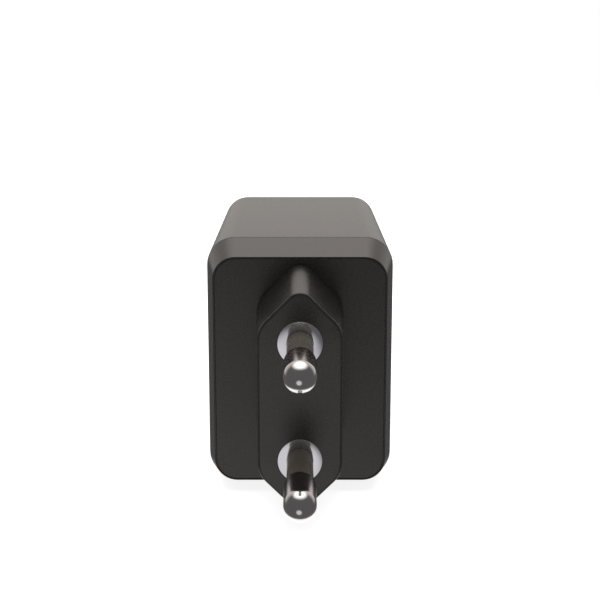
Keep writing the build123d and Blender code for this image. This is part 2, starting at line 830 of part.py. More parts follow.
with BuildPart() as chip_capacitors:
    for y, z, size in (
        (zone_middle_y, 0, small_chip_size),
        (rectifier_y + chip_row_offset, chip_row_z, large_chip_size),
    ):
        length, width, height = size
        with BuildSketch(on_board(board_back_x)):
            with Locations((y, z)):
                with GridLocations(0, width + length / 2, 1, chip_row_count):
                    Rectangle(length, width)
        extrude(amount=-height)
pieces["chip_capacitors"] = chip_capacitors

with BuildPart() as chip_resistors:
    with BuildSketch(on_board(board_back_x)):
        with Locations((zone_middle_y, resistor_z)):
            with GridLocations(*resistor_spacing, resistor_columns, resistor_rows):
                Rectangle(small_chip_size[0], small_chip_size[1])
    extrude(amount=-resistor_height)
pieces["chip_resistors"] = chip_resistors

# ---- Cooling ----
with BuildPart() as thermal_pads:
    for y, z, size in (
        (switch_y, switch_z, switch_size),
        (rectifier_y, rectifier_z, rectifier_size),
    ):
        length, width, height = size
        with BuildSketch(on_board(board_back_x - height)):
            with Locations((y, z)):
                Rectangle(length, width)
        extrude(amount=-(under_board_gap - height))
pieces["thermal_pads"] = thermal_pads

cooling_length = board_rear_y - board_front_y - 2 * cooling_margin
cooling_height = inner_height - 2 * inner_radius - cooling_margin
with BuildPart() as heat_spreader:
    with BuildSketch(on_board(spreader_face_x)):
        with Locations(((board_front_y + board_rear_y) / 2, 0)):
            RectangleRounded(cooling_length, cooling_height, cooling_margin / 2)
    extrude(amount=-spreader_thickness)
pieces["heat_spreader"] = heat_spreader

with BuildPart() as insulation_sheet:
    with BuildSketch(on_board(-half_width)):
        with Locations(((board_front_y + board_rear_y) / 2, 0)):
            Rectangle(cooling_length + cooling_margin, cooling_height + cooling_margin)
    extrude(amount=insulation_thickness)
pieces["insulation_sheet"] = insulation_sheet

# ---- Files ----
os.makedirs("parts", exist_ok=True)
for label, piece in pieces.items():
    piece.part.label = label
    export_step(piece.part, f"parts/{label}.step")
for label, part in chips.items():
    part.label = label
    export_step(part, f"parts/{label}.step")
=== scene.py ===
import json
import math

import bmesh
import bpy
from mathutils import Matrix, Vector


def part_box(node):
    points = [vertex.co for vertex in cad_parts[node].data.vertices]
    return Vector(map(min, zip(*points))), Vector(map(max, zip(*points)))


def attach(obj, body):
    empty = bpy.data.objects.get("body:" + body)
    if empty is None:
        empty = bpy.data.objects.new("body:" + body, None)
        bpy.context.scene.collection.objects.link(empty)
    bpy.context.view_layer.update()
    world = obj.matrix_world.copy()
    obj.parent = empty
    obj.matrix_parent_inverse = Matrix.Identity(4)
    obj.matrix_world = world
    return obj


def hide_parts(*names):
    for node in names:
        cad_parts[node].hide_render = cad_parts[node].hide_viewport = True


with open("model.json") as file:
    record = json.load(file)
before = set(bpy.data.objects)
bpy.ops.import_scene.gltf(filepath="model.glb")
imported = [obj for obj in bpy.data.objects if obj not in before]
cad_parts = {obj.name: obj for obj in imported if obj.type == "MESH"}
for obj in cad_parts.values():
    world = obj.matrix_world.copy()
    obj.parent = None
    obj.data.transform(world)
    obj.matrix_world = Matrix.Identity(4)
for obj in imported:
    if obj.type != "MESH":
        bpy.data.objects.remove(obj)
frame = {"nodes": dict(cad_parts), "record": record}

bl_info = {
    "name": "Wall charger pieces",
    "version": (1, 0, 0),
    "blender": (4, 5, 0),
    "location": "View3D > Sidebar > Charger",
    "description": "Builds the finished pieces of a two-pin wall charger round its packed model",
    "category": "Object",
}

MM = 0.001


def size_of(node):
    low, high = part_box(node)
    return high - low


def middle_of(node):
    low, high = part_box(node)
    return (low + high) / 2


def linear(colour):
    """Linear RGB of an sRGB hex colour."""
    parts = [int(colour[i : i + 2], 16) / 255 for i in (1, 3, 5)]
    return [c / 12.92 if c <= 0.04045 else ((c + 0.055) / 1.055) ** 2.4 for c in parts]


def length(name, description, default):
    return bpy.props.FloatProperty(
        name=name, description=description, default=default, min=0, unit="LENGTH", precision=5
    )


def level(name, description, default):
    return bpy.props.FloatProperty(name=name, description=description, default=default, min=0)


def colour(name, description, default):
    return bpy.props.FloatVectorProperty(
        name=name, description=description, default=linear(default), min=0, max=1, subtype="COLOR"
    )


# ---- Sizes and colours that a user would change ----
class CaseSizes(bpy.types.PropertyGroup):
    width: length("Width", "Case from side to side", size_of("rear_housing").x)
    height: length("Height", "Case from bottom to top", size_of("rear_housing").z)
    corner: length("Corner radius", "Long corners of the case", 4.8 * MM)
    wall: length("Wall", "Wall of the rear housing", 2.0 * MM)
    rear_edge: length("Rear edge", "Rounding round the port end", 1.2 * MM)
    seam_depth: length("Seam depth", "Depth of the fine groove at the seam", 0.1 * MM)
    seam_width: length("Seam width", "Half the width of the groove at the seam", 0.12 * MM)
    front_corner: length("Front corner radius", "Corners at the collar's front", 3.9 * MM)
    side_taper: length("Side taper", "How far each side leans in to the front", 1.4 * MM)
    end_taper: length("End taper", "How far top and bottom lean in to the front", 2.1 * MM)
    rim: length("Rim", "Flat rim round the front face", 0.2 * MM)
    gap_depth: length("Gap depth", "Depth of the shadow gap round the front face", 0.15 * MM)
    face_edge: length("Face edge", "Rounding of the front face's edge", 0.12 * MM)


class PlugSizes(bpy.types.PropertyGroup):
    front_width: length("Boss width", "Engagement face from flat to flat", 13.3 * MM)
    front_height: length("Boss height", "Engagement face from apex to apex", 35.2 * MM)
    side_draft: length("Side draft", "Growth of each flat side to the root", 0.7 * MM)
    end_draft: length("End draft", "Growth of each apex to the root", 0.9 * MM)
    apex: length("Apex radius", "Rounding of the upper and lower apex", 2.1 * MM)
    shoulder: length("Shoulder radius", "Rounding of the four shoulders", 4.6 * MM)
    edge: length("Front edge", "Rounding round the engagement face", 0.45 * MM)
    wall: length("Boss wall", "Wall round the boss's hollow", 1.8 * MM)
    front_wall: length("Front wall", "Wall behind the engagement face", 4.0 * MM)
    shank: length("Shank", "Pin's thickness inside its sleeve", 3.0 * MM)
    sleeve_end: length("Sleeve end rounding", "Lip of the insulating sleeve", 0.12 * MM)


class PortSizes(bpy.types.PropertyGroup):
    plate: length("Port end thickness", "Plate that holds the port mouths", 2.0 * MM)
    ledge: length("Ledge", "Step in the housing that the port end rests on", 0.6 * MM)
    post: length("Post radius", "Posts that press on the port board", 1.6 * MM)
    post_inset: length("Post inset", "Post's axis to the inside of the housing", 3.0 * MM)
    shell_corner: length("Shell corner", "Corners of the wide port's shell", 0.6 * MM)
    shell_lip: length("Shell lip", "Rolled lip at the shell's mouth", 0.14 * MM)
    fine_tongue: length("Fine tongue", "Thickness of the narrow port's tongue", 0.7 * MM)
    fine_tongue_width: length("Fine tongue width", "Width of the narrow port's tongue", 6.69 * MM)
    wide_tongue: length("Wide tongue", "Thickness of the wide port's tongue", 1.84 * MM)
    wide_tongue_width: length("Wide tongue width", "Width of the wide port's tongue", 11.1 * MM)
    wide_tongue_gap: length("Wide tongue gap", "Shell to the near face of the tongue", 0.72 * MM)
    tongue_edge: length("Tongue edge", "Rounding of a tongue's end", 0.19 * MM)
    fine_pitch: length("Fine pitch", "Spacing of the narrow port's contacts", 0.5 * MM)
    wide_contact: length("Wide contact", "Width of the wide port's contacts", 1.0 * MM)
    clearance: length("Mouth clearance", "Port end to shell", 0.3 * MM)
    bevel: length("Mouth bevel", "Bevel round each mouth", 0.3 * MM)
    shell_wall: length("Shell wall", "Sheet steel of the port shells", 0.3 * MM)
    contact_height: length("Contact height", "Contact's rise above its tongue", 0.05 * MM)


class WindingSizes(bpy.types.PropertyGroup):
    primary_wire: length("Primary wire", "Enamelled wire of the primary", 0.3 * MM)
    secondary_wire: length("Secondary wire", "Insulated wire of the secondary", 0.7 * MM)


class FinishColours(bpy.types.PropertyGroup):
    case: colour("Case", "Moulded polycarbonate", "#242120")
    sleeve: colour("Sleeve", "Insulating sleeve of the pins", "#625C53")
    pin: colour("Pin", "Nickel plate", "#CDC8C8")
    ring: colour("Ring", "Turned stainless steel", "#D4D1D6")
    board: colour("Board", "Solder mask", "#12462B")


class StageSettings(bpy.types.PropertyGroup):
    floor_size: length("Floor", "Length of the pale floor", 3.0)
    floor_glow: level("Floor glow", "Light of the back-lit white table", 0.85)
    overhead: level("Overhead", "Brightness of the softbox above", 1.9)
    wall: level("Wall", "Brightness of the pale wall behind", 0.64)
    front: level("Front", "Brightness of the round soft light low in front", 0.76)
    below: level("Below", "Brightness of the white card low behind", 1.5)
    room: level("Room", "Brightness of the rest of the room", 0.14)


GROUPS = {
    "charger_case": CaseSizes,
    "charger_plug": PlugSizes,
    "charger_ports": PortSizes,
    "charger_windings": WindingSizes,
    "charger_colours": FinishColours,
    "charger_stage": StageSettings,
}


# ---- Outlines, drawn in X and Z ----
CORNER_STEPS = 10
ROUND_STEPS = 72
DOME_STEPS = 14
SEAM_FLANK = 0.02 * MM  # how steeply the groove at the seam goes down
WELD = 1e-7  # points closer than this are one


def rounded(corners, radii, steps):
    """Points round a convex outline given anticlockwise, each corner turned into an arc."""
    points = []
    for i, corner in enumerate(corners):
        here = Vector(corner)
        before = (Vector(corners[i - 1]) - here).normalized()
        after = (Vector(corners[(i + 1) % len(corners)]) - here).normalized()
        half = before.angle(after) / 2
        centre = here + (before + after).normalized() * (radii[i] / math.sin(half))
        spoke = here + before * (radii[i] / math.tan(half)) - centre
        for step in range(steps + 1):
            turn = Matrix.Rotation((math.pi - 2 * half) * step / steps, 2)
            points.append(tuple(centre + turn @ spoke))
    return points


def case_outline(width, height, radius):
    w, h = width / 2, height / 2
    return rounded([(w, -h), (w, h), (-w, h), (-w, -h)], [radius] * 4, CORNER_STEPS)


def boss_outline(width, height, apex, shoulder, inset=0.0):
    """Hexagon with 45 degree ends, as high as its rounded apexes, drawn in by inset."""
    width, height = width - 2 * inset, height - 2 * inset
    apex, shoulder = apex - inset, shoulder - inset
    peak = height / 2 + apex * (math.sqrt(2) - 1)
    side = peak - width / 2
    w = width / 2
    corners = [(w, -side), (w, side), (0, peak), (-w, side), (-w, -side), (0, -peak)]
    return rounded(corners, [shoulder, shoulder, apex, shoulder, shoulder, apex], CORNER_STEPS)


def circle(radius, z=0.0, x=0.0, steps=ROUND_STEPS):
    turns = [2 * math.pi * i / steps for i in range(steps)]
    return [(x + radius * math.cos(t), z + radius * math.sin(t)) for t in turns]


def box_outline(width, height, radius, z):
    return [(x, y + z) for x, y in case_outline(width, height, radius)]


def port_outline(port, ports, grow_by):
    """Outline of a port's shell, grown by that much, or drawn in where it is negative."""
    shell, z = size_of(f"{port}_shell"), middle_of(f"{port}_shell").z
    width, height = shell.x + 2 * grow_by, shell.z + 2 * grow_by
    half_round = height / 2 - WELD
    corner = half_round if port == "usb_c" else ports.shell_corner + grow_by
    return box_outline(width, height, corner, z)


def quarter(radius, steps=6):
    """(inset, advance) along a quarter round, from the flank to the face."""
    turns = [math.pi / 2 * i / steps for i in range(steps + 1)]
    return [(radius * (1 - math.cos(t)), radius * math.sin(t)) for t in turns]


# ---- Meshes ----
def ring(mesh, outline, y):
    return [mesh.verts.new((x, y, z)) for x, z in outline]


def skin(mesh, rings, closed=False):
    """Joins each ring of points to the next, and the last to the first where it is closed."""
    for a, b in list(zip(rings, rings[1:])) + ([(rings[-1], rings[0])] if closed else []):
        for i in range(max(len(a), len(b))):
            j = i + 1
            face = [a[i % len(a)], a[j % len(a)], b[j % len(b)], b[i % len(b)]]
            mesh.faces.new([v for k, v in enumerate(face) if v not in face[:k]])


def cap(mesh, *loops):
    """Flat face inside the first loop, with the other loops as its holes."""
    edges = []
    for loop in loops:
        for a, b in zip(loop, loop[1:] + loop[:1]):
            edges.append(mesh.edges.get((a, b)) or mesh.edges.new((a, b)))
    bmesh.ops.triangle_fill(mesh, use_beauty=True, edges=edges)


def turned(mesh, profile, z, closed=False, x=0.0):
    """Turns a profile of (radius, y) points round the axis at x and z; radius 0 is a pole."""
    rings = []
    for radius, y in profile:
        rings.append(ring(mesh, circle(radius, z, x) if radius else [(x, z)], y))
    skin(mesh, rings, closed)


def bar(mesh, low, high, bevel):
    """Bevelled bar between two corners."""
    made = bmesh.ops.create_cube(mesh, size=1.0)["verts"]
    low, high = Vector(low), Vector(high)
    for vert in made:
        vert.co = (low + high) / 2 + Vector(a * b for a, b in zip(vert.co, high - low))
    edges = list({edge for vert in made for edge in vert.link_edges})
    bmesh.ops.bevel(mesh, geom=edges, offset=bevel, segments=3, affect="EDGES", profile=0.5)


def to_object(name, data, material, nodes):
    """A finished mesh becomes a piece that rides on the charger and stands for CAD nodes."""
    data.materials.clear()
    for each in material if isinstance(material, list) else [material]:
        data.materials.append(each)
    piece = bpy.data.objects.new(name, data)
    bpy.context.collection.objects.link(piece)
    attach(piece, "root")
    if nodes:
        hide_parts(*nodes)
    return piece


def to_piece(name, mesh, slot, material, *nodes, sharp=32):
    bmesh.ops.remove_doubles(mesh, verts=mesh.verts, dist=WELD)
    bmesh.ops.recalc_face_normals(mesh, faces=mesh.faces)
    data = bpy.data.meshes.new(name)
    mesh.to_mesh(data)
    mesh.free()
    data.shade_smooth()
    data.set_sharp_from_angle(angle=math.radians(sharp))
    piece = to_object(name, data, material, nodes)
    piece.modifiers.new("Even shading", "WEIGHTED_NORMAL").keep_sharp = True
    return piece


# ---- Node trees ----
def node(tree, kind, settings=None, sockets=None):
    """Adds a node with its settings, and gives each of its sockets a value or a link."""
    made = tree.nodes.new(kind)
    for key, value in (settings or {}).items():
        setattr(made, key, value)
    for key, value in (sockets or {}).items():
        if isinstance(value, bpy.types.NodeSocket):
            tree.links.new(value, made.inputs[key])
        else:
            made.inputs[key].default_value = value
    return made


def maths(tree, operation, *values, **settings):
    """What comes out of a Math node on those values or sockets."""
    settings["operation"] = operation
    return node(tree, "ShaderNodeMath", settings, dict(enumerate(values))).outputs[0]


def between(tree, value, low, high, to_low=0.0, to_high=1.0, smooth=False):
    """A value mapped from one range to another."""
    return node(
        tree, "ShaderNodeMapRange", {"interpolation_type": "SMOOTHSTEP" if smooth else "LINEAR"},
        {"Value": value, "From Min": low, "From Max": high, "To Min": to_low, "To Max": to_high},
    ).outputs[0]


def noise(tree, place, size, detail=2.0):
    """Cloudy pattern with patches of about that size."""
    return node(
        tree, "ShaderNodeTexNoise", {}, {"Vector": place, "Scale": 1 / size, "Detail": detail}
    ).outputs[0]


def mixed(tree, factor, dark, light):
    """Colour from dark where the factor is 0 to light where it is 1."""
    dark, light = (c if isinstance(c, bpy.types.NodeSocket) else (*c, 1) for c in (dark, light))
    return node(
        tree, "ShaderNodeMix", {"data_type": "RGBA"}, {0: factor, 6: dark, 7: light}
    ).outputs[2]


def surface(tree, shader, tint, sheen, height, depth):
    """Gives the shader its colour and roughness, and a relief of that depth."""
    relief = node(
        tree, "ShaderNodeBump", {}, {"Strength": 1.0, "Distance": depth, "Height": height}
    )
    tree.links.new(tint, shader.inputs["Base Color"])
    tree.links.new(sheen, shader.inputs["Roughness"])
    tree.links.new(relief.outputs[0], shader.inputs["Normal"])


def grower(name, inputs):
    """An empty Geometry Nodes tree with named inputs, its input node and its output node."""
    tree = bpy.data.node_groups.new(name, "GeometryNodeTree")
    tree.interface.new_socket("Geometry", in_out="INPUT", socket_type="NodeSocketGeometry")
    for label, kind in inputs.items():
        tree.interface.new_socket(label, in_out="INPUT", socket_type="NodeSocket" + kind)
    tree.interface.new_socket("Geometry", in_out="OUTPUT", socket_type="NodeSocketGeometry")
    return tree, tree.nodes.new("NodeGroupInput"), tree.nodes.new("NodeGroupOutput")


def grow(name, tree, values, sharp=40):
    """Runs a tree on an empty mesh and returns the plain mesh that comes out."""
    carrier = bpy.data.objects.new(name, bpy.data.meshes.new(name))
    bpy.context.collection.objects.link(carrier)
    modifier = carrier.modifiers.new(tree.name, "NODES")
    modifier.node_group = tree
    for item in tree.interface.items_tree:
        if item.in_out == "INPUT" and item.name in values:
            modifier[item.identifier] = values[item.name]
    view = bpy.context.evaluated_depsgraph_get()
    made = bpy.data.meshes.new_from_object(carrier.evaluated_get(view), depsgraph=view)
    carrier.modifiers.remove(modifier)
    bpy.data.objects.remove(carrier)
    made.shade_smooth()
    made.set_sharp_from_angle(angle=math.radians(sharp))
    return made


def realized(tree, geometry, material, output):
    solid = node(tree, "GeometryNodeRealizeInstances", {}, {"Geometry": geometry})
    painted = node(
        tree, "GeometryNodeSetMaterial", {}, {"Geometry": solid.outputs[0], "Material": material}
    )
    tree.links.new(painted.outputs[0], output.inputs[0])


def strip_tree():
    """Rounded strips along Y, the first at Start and each next one a Step further."""
    tree, given, out = grower(
        "Contact strips",
        {"Start": "Vector", "Step": "Vector", "Count": "Int", "Width": "Float", "Height": "Float",
         "Length": "Float", "Material": "Material"},
    )
    places = node(
        tree, "GeometryNodeMeshLine", {"mode": "OFFSET"},
        {"Count": given.outputs["Count"], "Start Location": given.outputs["Start"],
         "Offset": given.outputs["Step"]},
    )
    outline = node(
        tree, "GeometryNodeCurvePrimitiveQuadrilateral", {},
        {"Width": given.outputs["Width"], "Height": given.outputs["Height"]},
    )
    radius = maths(tree, "MULTIPLY", given.outputs["Height"], 0.3)
    section = node(
        tree, "GeometryNodeFilletCurve", {"mode": "POLY"},
        {"Curve": outline.outputs[0], "Count": 3, "Radius": radius},
    )
    end = node(tree, "ShaderNodeCombineXYZ", {}, {"Y": given.outputs["Length"]})
    path = node(tree, "GeometryNodeCurvePrimitiveLine", {}, {"End": end.outputs[0]})
    strip = node(
        tree, "GeometryNodeCurveToMesh", {},
        {"Curve": path.outputs[0], "Profile Curve": section.outputs[0], "Fill Caps": True},
    )
    set_out = node(
        tree, "GeometryNodeInstanceOnPoints", {},
        {"Points": places.outputs[0], "Instance": strip.outputs[0]},
    )
    realized(tree, set_out.outputs[0], given.outputs["Material"], out)
    return tree


def coil_tree():
    """One wire wound side by side on a round former, its axis along X."""
    tree, given, out = grower(
        "Wound wire",
        {"Radius": "Float", "Length": "Float", "Wire": "Float", "Centre": "Vector",
         "Material": "Material"},
    )
    wire = given.outputs["Wire"]
    room = maths(tree, "SUBTRACT", given.outputs["Length"], wire)
    turns = maths(tree, "DIVIDE", room, wire)
    line_radius = maths(tree, "MULTIPLY_ADD", wire, -0.5, given.outputs["Radius"])
    spiral = node(
        tree, "GeometryNodeCurveSpiral", {},
        {"Resolution": 28, "Rotations": turns, "Start Radius": line_radius,
         "End Radius": line_radius, "Height": room},
    )
    section = node(
        tree, "GeometryNodeCurvePrimitiveCircle", {},
        {"Resolution": 8, "Radius": maths(tree, "MULTIPLY", wire, 0.5)},
    )
    wound = node(
        tree, "GeometryNodeCurveToMesh", {},
        {"Curve": spiral.outputs[0], "Profile Curve": section.outputs[0], "Fill Caps": True},
    )
    lower = node(tree, "ShaderNodeCombineXYZ", {}, {"Z": maths(tree, "MULTIPLY", room, -0.5)})
    centred = node(
        tree, "GeometryNodeTransform", {},
        {"Geometry": wound.outputs[0], "Translation": lower.outputs[0]},
    )
    laid = node(
        tree, "GeometryNodeTransform", {},
        {"Geometry": centred.outputs[0], "Translation": given.outputs["Centre"],
         "Rotation": (0, math.pi / 2, 0)},
    )
    realized(tree, laid.outputs[0], given.outputs["Material"], out)
    return tree


# ---- Finishes ----
def blank(name):
    """A material with its shader, and the piece's own coordinates to lay patterns on."""
    material = bpy.data.materials.new(name)
    material.use_nodes = True
    tree = material.node_tree
    shader = tree.nodes["Principled BSDF"]
    return material, tree, shader, tree.nodes.new("ShaderNodeTexCoord").outputs["Object"]


def moulding(name, light, dark, grain, depth, roughness, ior, spread=0.04, tinge=(1, 1, 1)):
    """Moulded plastic: a fine even grain of that size and depth, and a slight cloud of the melt."""
    material, tree, shader, place = blank(name)
    fine = noise(tree, place, grain)
    # Melt flow leaves clouds some 7 mm wide.
    tint = mixed(tree, noise(tree, place, 7 * MM, detail=3.0), dark, light)
    sheen = between(tree, fine, 0.3, 0.7, roughness - spread, roughness + spread)
    shader.inputs["IOR"].default_value = ior
    shader.inputs["Specular Tint"].default_value = (*tinge, 1)
    surface(tree, shader, tint, sheen, fine, depth)
    return material


def metal(name, light, dark, lines, depth, roughness, spread=0.05, bend=None):
    """Metal with fine lines: lines is their spacing along X, Y and Z, long where it is large."""
    material, tree, shader, place = blank(name)
    if bend is not None:  # lines run round an axis along Y, at plus and minus bend in Z
        apart = node(tree, "ShaderNodeSeparateXYZ", {}, {0: place}).outputs
        off = maths(tree, "SUBTRACT", maths(tree, "ABSOLUTE", apart[2]), bend)
        spoke = node(tree, "ShaderNodeCombineXYZ", {}, {0: apart[0], 2: off})
        radius = node(tree, "ShaderNodeVectorMath", {"operation": "LENGTH"}, {0: spoke.outputs[0]})
        place = node(
            tree, "ShaderNodeCombineXYZ", {}, {0: radius.outputs["Value"], 1: apart[1]}
        ).outputs[0]
    drawn = node(
        tree, "ShaderNodeMapping", {},
        {"Vector": place, "Scale": tuple(1 / spacing for spacing in lines)},
    )
    fine = noise(tree, drawn.outputs[0], 1.0, detail=3.0)
    # Handling leaves faint patches some 3 mm wide.
    patch = noise(tree, place, 3 * MM)
    both = maths(tree, "MULTIPLY_ADD", patch, 0.5, fine)
    sheen = between(tree, both, 0.5, 1.0, max(roughness - spread, 0.02), roughness + spread)
    shader.inputs["Metallic"].default_value = 1.0
    surface(tree, shader, mixed(tree, patch, dark, light), sheen, fine, depth)
    return material


def circuit_board(light, dark):
    """Glass-epoxy board: raised copper tracks under glossy solder mask."""
    material, tree, shader, place = blank("glass-epoxy board")
    # Tracks run round patches some 2.6 mm wide.
    tracks = node(
        tree, "ShaderNodeTexVoronoi", {"feature": "DISTANCE_TO_EDGE", "voronoi_dimensions": "3D"},
        {"Vector": place, "Scale": 1 / (2.6 * MM), "Randomness": 0.35},
    )
    edge = between(tree, tracks.outputs["Distance"], 0.09, 0.14, 1.0, 0.0, smooth=True)
    # Glass weave under the mask, threads 0.4 mm apart.
    weave = node(tree, "ShaderNodeTexChecker", {}, {"Vector": place, "Scale": 1 / (0.4 * MM)})
    woven = maths(tree, "MULTIPLY_ADD", weave.outputs["Fac"], 0.08, edge)
    sheen = between(tree, woven, 0.0, 1.0, 0.24, 0.34)
    shader.inputs["IOR"].default_value = 1.55
    shader.inputs["Coat Weight"].default_value = 0.4
    shader.inputs["Coat Roughness"].default_value = 0.12
    surface(tree, shader, mixed(tree, edge, dark, light), sheen, woven, 0.03 * MM)
    return material


def sleeved_can(light, dark):
    """Aluminium can in a shrunk film sleeve that leaves its end bare."""
    material, tree, shader, place = blank("sleeved aluminium can")
    bare_end = 0.35 * MM
    apart = node(tree, "ShaderNodeSeparateXYZ", {}, {0: place})
    sleeve_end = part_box("bulk_capacitors")[1].x - bare_end
    bare = maths(tree, "GREATER_THAN", apart.outputs[0], sleeve_end)
    stripe = node(
        tree, "ShaderNodeTexWave", {"bands_direction": "Y"},
        {"Vector": place, "Scale": 1 / (40 * MM), "Distortion": 0.4},
    )
    sleeve = mixed(tree, stripe.outputs["Fac"], dark, light)
    # The film creases every 1.5 mm or so as it shrinks.
    crease = noise(tree, place, 1.5 * MM, detail=3.0)
    sheen = between(tree, crease, 0.0, 1.0, 0.22, 0.36)
    shader.inputs["IOR"].default_value = 1.54
    tree.links.new(bare, shader.inputs["Metallic"])
    tint = mixed(tree, bare, sleeve, linear("#C8CACC"))
    surface(tree, shader, tint, sheen, crease, 0.03 * MM)
    return material


# Inner and port plastics by slot: name, light and dark colour, grain and its depth in mm,
# roughness, index of refraction, and how far the roughness spreads where that isn't the usual.
MOULDINGS = {
    # Off-white and slightly mottled by its glass fibres.
    "carrier_plastic": ("glass-filled nylon", "#DDD8CC", "#CFC8B8", 0.2, 0.004, 0.5, 1.53),
    # Near black and dull, so the gold contacts stand out against it.
    "port_insulator": ("black moulded nylon", "#1D1D1E", "#161617", 0.15, 0.002, 0.42, 1.53),
    # Black block, a little duller than the plastic of the ports.
    "header_plastic": ("moulded header nylon", "#1B1B1C", "#141414", 0.15, 0.002, 0.45, 1.53),
    # Cream glaze, almost mirror smooth, with a slight waviness.
    "fuse_body": ("glazed ceramic tube", "#E4DCC6", "#D8CDB2", 1.2, 0.003, 0.14, 1.5),
    # Dipped coating: pitted and dull.
    "thermistor": ("dipped phenolic coating", "#2F4A33", "#233A27", 0.35, 0.02, 0.5, 1.55),
    # Warm yellow box with an even satin grain.
    "film_box": ("moulded polyester box", "#D8A92B", "#C59A22", 0.2, 0.004, 0.4, 1.57),
    # Sintered grey-black with a gritty ground surface.
    "ferrite": ("sintered ferrite", "#4A4A4D", "#343437", 0.12, 0.006, 0.55, 1.9, 0.12),
    # Dark brown resin, dull beside the copper.
    "coil_base": ("phenolic coil base", "#2A2624", "#1E1B1A", 0.2, 0.004, 0.48, 1.55),
    # Matt black with the fine pits of a transfer mould.
    "chip_package": ("moulded epoxy package", "#262628", "#1B1B1D", 0.1, 0.004, 0.55, 1.55),
    # Dipped blue lacquer with a wet, uneven gloss.
    "disc_capacitor": ("dipped epoxy disc", "#2C5A9E", "#1F4580", 0.9, 0.02, 0.28, 1.55),
    # Brown-black resin with a soft sheen on its flanges.
    "bobbin": ("phenolic bobbin", "#26211F", "#1B1817", 0.2, 0.004, 0.45, 1.55),
    # Triple-insulated wire has a smooth yellow plastic jacket.
    "winding_outer": ("insulated wire jacket", "#D9A441", "#C48E30", 0.5, 0.002, 0.3, 1.5),
    # Thin glossy yellow film that wrinkles over the core's edges.
    "tape": ("polyester film tape", "#E0B93A", "#CFA62C", 1.4, 0.02, 0.2, 1.64),
    # Tan bodies with a fine fired grain.
    "chip_ceramic": ("fired chip ceramic", "#B79671", "#9D7E5B", 0.15, 0.003, 0.4, 1.7),
    # Small black glaze that catches a little light.
    "chip_resistor": ("thick-film chip", "#1E1E20", "#151516", 0.15, 0.003, 0.35, 1.5),
    # Soft grey putty, matt and faintly uneven.
    "thermal_pad": ("silicone gap pad", "#7E8A94", "#6C7882", 0.4, 0.01, 0.65, 1.41),
    # Milky film with long soft ripples.
    "insulation": ("polyester insulation sheet", "#D8D2BE", "#C9C2AC", 2, 0.01, 0.25, 1.64),
}

# Inner and port metals by slot: name, light and dark colour, spacing of the lines along X, Y and
# Z and their depth in mm, and roughness.
METALS = {
    # Yellow strip dulled by its tin, with rolling lines along it.
    "contact_brass": ("tinned brass strip", "#D9C38A", "#C4A862", (2, 2, 0.15), 0.001, 0.3),
    # Grey steel with drawing lines that run into the port.
    "port_shell": (
        "deep-drawn stainless steel", "#C4C4C2", "#AFAFAD", (0.15, 4, 0.15), 0.0012, 0.26,
    ),
    # Small bright gold lines deep in each mouth.
    "port_contact": ("gold-flashed bronze", "#E8C06A", "#D6A94E", (0.2, 2, 0.2), 0.0006, 0.2),
    # Pale warm metal, drawn along the pins.
    "header_metal": ("tinned brass pin", "#D8D2BF", "#C9C0A2", (0.1, 2, 0.1), 0.001, 0.28),
    # Bright caps at the ends of the cream tube, with fine lines round them.
    "fuse_cap": ("nickel-plated cap", "#CFCCC5", "#BDB9B0", (1, 1, 0.1), 0.001, 0.25),
    # Copper seen through clear enamel, bright on each turn.
    "copper_wire": ("enamelled copper wire", "#C8713A", "#A9552A", (1, 1, 1), 0.0006, 0.22),
    # Pale bare can, drawn along its length.
    "polymer_can": ("bare aluminium can", "#CDCED0", "#B9BABD", (3, 0.2, 0.2), 0.001, 0.3),
    # Light sheet with long rolling lines that soften its shine.
    "spreader": ("rolled aluminium sheet", "#D3D4D6", "#C2C3C6", (0.12, 5, 0.12), 0.0015, 0.34),
}


def finishes():
    """Every finish by its record slot. Each is named for what the real one is made of."""
    paint = bpy.context.scene.charger_colours
    case, sleeve, pin = list(paint.case), list(paint.sleeve), list(paint.pin)
    ring_colour, board = list(paint.ring), list(paint.board)
    made = {}
    # A dark satin skin with a soft broad sheen. The mould's grain is really about 0.03 mm, and is
    # drawn 0.14 mm wide so that it shows.
    made["case_moulding"] = moulding(
        "moulded polycarbonate", case, [c * 0.86 for c in case], 0.14 * MM, 0.0009 * MM, 0.29, 1.585,
        tinge=(1.0, 0.95, 0.91),
    )
    # Smooth and glossier than the case, so the sleeves catch a narrow bright line.
    made["pin_sleeve"] = moulding(
        "extruded nylon sleeve", sleeve, [c * 0.85 for c in sleeve], 0.3 * MM, 0.0004 * MM, 0.22, 1.53
    )
    # Bright plate over fine turning lines, which stretch the highlights along the pin.
    made["pin_metal"] = metal(
        "nickel-plated brass", pin, [c * 0.93 for c in pin], (1.2 * MM, 0.12 * MM, 1.2 * MM),
        0.0006 * MM, 0.15,
    )
    # Fine rings from the lathe, which spread the light round each pin's root.
    made["pin_ring"] = metal(
        "turned stainless steel", ring_colour, [c * 0.94 for c in ring_colour],
        (0.11 * MM, 2 * MM, 2 * MM), 0.0002 * MM, 0.09, spread=0.02,
        bend=middle_of("upper_pin_ring").z,
    )
    # Deep green with lighter tracks under a glassy coat.
    made["board"] = circuit_board([c * 1.9 for c in board], board)
    # Dark blue sleeve with a bare bright end.
    made["capacitor_can"] = sleeved_can(linear("#35405A"), linear("#1D2333"))
    for slot, (name, light, dark, grain, depth, *rest) in MOULDINGS.items():
        made[slot] = moulding(name, linear(light), linear(dark), grain * MM, depth * MM, *rest)
    for slot, (name, light, dark, lines, depth, roughness) in METALS.items():
        lines = [spacing * MM for spacing in lines]
        made[slot] = metal(name, linear(light), linear(dark), lines, depth * MM, roughness)
    return made


READY = {}


def finish_of(slot):
    """The finish for a record slot; all of them are made the first time."""
    if not READY:
        READY.update(finishes())
    return READY[slot]


